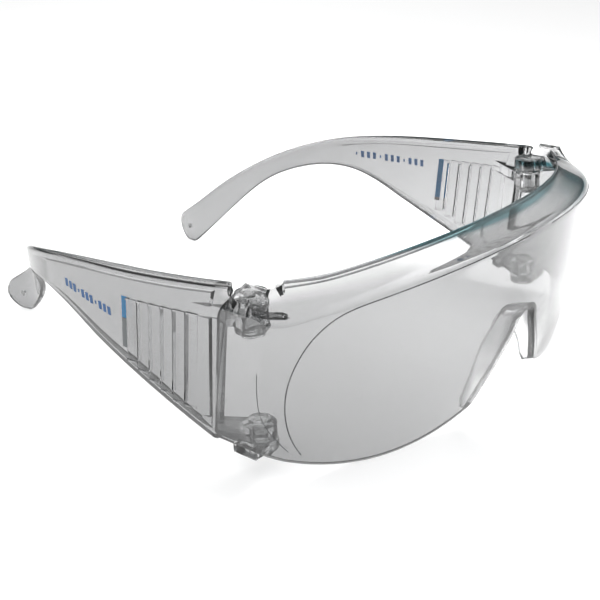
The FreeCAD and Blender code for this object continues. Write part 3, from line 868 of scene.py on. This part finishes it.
class GLASSES_OT_arms(bpy.types.Operator):
    """Builds the two side arms with their flanges, louvres, knuckles and cord holes"""
    bl_idname = "glasses.arms"
    bl_label = "Arms"

    def execute(self, context):
        sizes = context.scene.glasses_arm
        stations = arm_stations()
        sections = [arm_section(y, sizes) for y in stations]
        around = len(sections[0])
        for name, side in SIDES:
            arm = grid("arm_" + name + "_clear", len(stations), around + 1,
                       lambda i, j: arm_place(stations[i], *sections[i][j % around], side))
            edit_whole(arm)
            bpy.ops.mesh.remove_doubles(threshold=0.000002)
            bpy.ops.mesh.select_all(action="DESELECT")
            bpy.ops.mesh.select_mode(type="EDGE")
            bpy.ops.mesh.select_non_manifold()
            bpy.ops.mesh.edge_face_add()
            bpy.ops.mesh.select_all(action="SELECT")
            bpy.ops.mesh.normals_make_consistent(inside=False)
            done()
            x = side * PIVOT_X
            for low, high in ((UPPER_KNUCKLE[1], 70), (-5, LOWER_KNUCKLE[0])):
                cut(arm, drum("clearance", LUG_RADIUS + 0.7, low, high, x, PIVOT_Y))
            cut(arm, drum("clearance", 3.0, LOWER_KNUCKLE[0], UPPER_KNUCKLE[0], x, PIVOT_Y))
            for (low, high), tab in ((UPPER_KNUCKLE, 42.6), (LOWER_KNUCKLE, 8.9)):
                outline = [(side * a, b) for a, b in TAB_PLAN]
                cut(arm, panel("tab", outline, tab + 0.03, tab + 3.57), "UNION")
                cut(arm, drum("knuckle", KNUCKLE_RADIUS, low, high, x, PIVOT_Y, bevel=0.3), "UNION")
            self.louvres(arm, side, sizes.louvre / MM)
            cut(arm, drum("bore", 1.55, 0, 70, x, PIVOT_Y))
            self.cord_hole(arm, side)
            smooth(arm)
            dress(arm, "Clear arm")
            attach(arm, name + "_arm")
            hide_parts("arm_" + name)
        return {"FINISHED"}

    def louvres(self, arm, side, proud):
        """Stands a sloping louvre with a ledge at its head and foot behind each slot, and cuts the slots."""
        for i in range(-1, SLOTS):
            y = SLOT_FIRST + i * SLOT_PITCH
            floor = SLOT_FLOOR + FLOOR_RISE * max(0, i) * SLOT_PITCH
            outline = []
            start, end = 0.3, SLOT_PITCH - 0.5
            for back, inset in ((start, 0.5), (end, 0.5), (end, -proud), (start, -0.04)):
                x = arm_outer(y + back - VENT_LEAN * 29)[0]
                outline.append((side * (x - inset), y + back))
            top = SLOT_TOP + 0.6 - 0.065 * (i - 1) * SLOT_PITCH
            cut(arm, self.leaning(panel("louvre", outline, floor - 0.5, top)), "UNION")
            foot = [(x + side * 0.25 * (n > 1), b + (0.12 if n in (1, 2) else -0.12))
                    for n, (x, b) in enumerate(outline)]
            for ledge in (floor - 1.0, top - 0.5):
                cut(arm, self.leaning(panel("ledge", foot, ledge, ledge + 0.55)), "UNION")
            if i >= 0:
                half = SLOT_WIDTH / 2
                slot = slab("slot", (side * 60, y - half, floor), (side * 90, y + half, top - 0.6))
                cut(arm, self.leaning(slot))

    def leaning(self, tool):
        """The tool sheared forward with its height, as the vent leans."""
        for vertex in tool.data.vertices:
            vertex.co.y -= VENT_LEAN * vertex.co.z
        return tool

    def cord_hole(self, arm, side):
        heading = arm_outer(TIP_Y)[1]
        deselect()
        bpy.ops.mesh.primitive_cylinder_add(vertices=28, radius=1.0 * MM, depth=12 * MM,
                                            location=arm_place(TIP_Y, 1, TIP_Z, side),
                                            rotation=(0, math.pi / 2, side * heading))
        tool = bpy.context.object
        bpy.ops.object.transform_apply(location=True, rotation=True, scale=True)
        cut(arm, tool)


class GLASSES_OT_vent_bars(bpy.types.Operator):
    """Builds the coloured bar behind each side vent"""
    bl_idname = "glasses.vent_bars"
    bl_label = "Vent bars"

    def execute(self, context):
        for name, side in SIDES:
            change = BAR_BLUE_FOOT[name]
            for part, low, high in (("blue", change, BAR_TOP), ("grey", BAR_FOOT, change)):
                bar = grid("vent_bar_" + part + "_" + name, 4, 14, lambda i, j: self.bar_place(
                    i, low + 0.02 + (high - low - 0.04) * j / 13, name, side))
                outward(bar)
                modify(bar, "SOLIDIFY", thickness=0.35 * MM, offset=0)
                modify(bar, "BEVEL", width=0.08 * MM, segments=2, limit_method="ANGLE")
                smooth(bar)
                dress(bar, "Vent " + part)
                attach(bar, name + "_arm")
        return {"FINISHED"}

    def bar_place(self, i, z, name, side):
        return arm_place(BAR_BACK[name] + (i - 1.5) * BAR_STEP - VENT_LEAN * z, -0.05, z, side)


class GLASSES_OT_marks(bpy.types.Operator):
    """Prints a plain row of blue tally marks on each arm"""
    bl_idname = "glasses.marks"
    bl_label = "Printed marks"

    def execute(self, context):
        for name, side in SIDES:
            rows = []
            count, (start_y, start_z), (end_y, end_z), ink = MARK_ROWS[name]
            for i in range(count):
                along = i / (count - 1)
                y, z = start_y + (end_y - start_y) * along, start_z + (end_z - start_z) * along
                wide, tall = MARK_SIZE if i % 4 != 3 else DOT_SIZE
                mark = grid("mark", 3, 6, lambda a, b: arm_place(
                    y + (a / 2 - 0.5) * wide, -0.06, z + (b / 5 - 0.5) * tall, side))
                outward(mark)
                modify(mark, "SOLIDIFY", thickness=0.08 * MM, offset=0)
                rows.append(mark)
            deselect()
            for mark in rows:
                mark.select_set(True)
            bpy.context.view_layer.objects.active = rows[0]
            bpy.ops.object.join()
            marks = bpy.context.object
            marks.name = "arm_marks_" + name
            dress(marks, ink)
            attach(marks, name + "_arm")
        return {"FINISHED"}


class GLASSES_OT_pins(bpy.types.Operator):
    """Gives the hinge pins their finish"""
    bl_idname = "glasses.pins"
    bl_label = "Hinge pins"

    def execute(self, context):
        for name in frame["nodes"]:
            if name.startswith("hinge_pin"):
                pin = bpy.data.objects[name]
                pin.data.materials.clear()
                pin.data.materials.append(bpy.data.materials["Clear pin"])
        return {"FINISHED"}


class GLASSES_OT_stage(bpy.types.Operator):
    """Sets the floor, the lights, the sky and the camera"""
    bl_idname = "glasses.stage"
    bl_label = "Stage"

    def execute(self, context):
        deselect()
        bpy.ops.mesh.primitive_plane_add(size=8)
        floor = bpy.context.object
        floor.name = "floor"
        white = bpy.data.materials.new("Pale floor")
        white.use_nodes = True
        shader = white.node_tree.nodes["Principled BSDF"]
        shader.inputs["Base Color"].default_value = (0.93, 0.93, 0.93, 1)
        shader.inputs["Roughness"].default_value = 0.9
        floor.data.materials.append(white)
        for name, spot, aim, size, power in LIGHTS:
            deselect()
            bpy.ops.object.light_add(type="AREA", location=spot)
            light = bpy.context.object
            light.name = name
            light.data.size = size
            light.data.energy = power
            light.visible_glossy = name == "back"
            light.visible_transmission = name == "back"
            light.rotation_euler = (Vector(aim) - Vector(spot)).to_track_quat("-Z", "Y").to_euler()
        context.scene.view_settings.view_transform = "Standard"
        self.sky(context)
        self.camera(context)
        return {"FINISHED"}

    def sky(self, context):
        world = bpy.data.worlds.new("Studio")
        context.scene.world = world
        world.use_nodes = True
        nodes, links = world.node_tree.nodes, world.node_tree.links
        where = nodes.new("ShaderNodeTexCoord")
        apart = nodes.new("ShaderNodeSeparateXYZ")
        ramp = nodes.new("ShaderNodeValToRGB")
        stops = ((HORIZON_TOP, HORIZON), (ZENITH_FOOT, ZENITH))
        for stop, (height, colour) in zip(ramp.color_ramp.elements, stops):
            stop.position, stop.color = height, colour
        links.new(where.outputs["Generated"], apart.inputs["Vector"])
        links.new(apart.outputs["Z"], ramp.inputs["Fac"])
        links.new(ramp.outputs["Color"], nodes["Background"].inputs["Color"])
        nodes["Background"].inputs["Strength"].default_value = SKY_STRENGTH

    def camera(self, context):
        data = bpy.data.cameras.new("Camera")
        camera = bpy.data.objects.new("Camera", data)
        context.scene.collection.objects.link(camera)
        away = Vector((-0.68831, -0.60613, 0.39853)).normalized()
        right = Vector((0.64375, -0.76362, -0.04957)).normalized()
        up = away.cross(right).normalized()
        right = up.cross(away)
        turn = Matrix((right, up, away)).transposed().to_4x4()
        camera.matrix_world = Matrix.Translation(Vector((-0.250889, -0.238294, 0.162244))) @ turn
        data.lens, data.shift_x, data.shift_y = 66.81, -0.0399, -0.0105
        data.clip_start = 0.01
        context.scene.camera = camera


OPERATORS = (GLASSES_OT_finishes, GLASSES_OT_stage, GLASSES_OT_visor, GLASSES_OT_borders, GLASSES_OT_arms,
             GLASSES_OT_vent_bars, GLASSES_OT_marks, GLASSES_OT_pins)


class GLASSES_PT_panel(bpy.types.Panel):
    """Lists the sizes and the pieces of the glasses"""
    bl_idname = "GLASSES_PT_panel"
    bl_label = "Safety Glasses"
    bl_space_type = "VIEW_3D"
    bl_region_type = "UI"
    bl_category = "Glasses"

    def draw(self, context):
        for group, kind in SETTINGS:
            box = self.layout.box()
            for name in kind.__annotations__:
                box.prop(getattr(context.scene, group), name)
        for operator in OPERATORS:
            self.layout.operator(operator.bl_idname)


CLASSES = (VisorSettings, ArmSettings, FinishSettings, *OPERATORS, GLASSES_PT_panel)
SETTINGS = (("glasses_visor", VisorSettings), ("glasses_arm", ArmSettings),
            ("glasses_finish", FinishSettings))


def register():
    for cls in CLASSES:
        bpy.utils.register_class(cls)
    for name, kind in SETTINGS:
        setattr(bpy.types.Scene, name, bpy.props.PointerProperty(type=kind))


def unregister():
    for name, _ in SETTINGS:
        delattr(bpy.types.Scene, name)
    for cls in reversed(CLASSES):
        bpy.utils.unregister_class(cls)


def main():
    register()
    for operator in OPERATORS:
        group, name = operator.bl_idname.split(".")
        getattr(getattr(bpy.ops, group), name)()


if __name__ == "__main__":
    main()
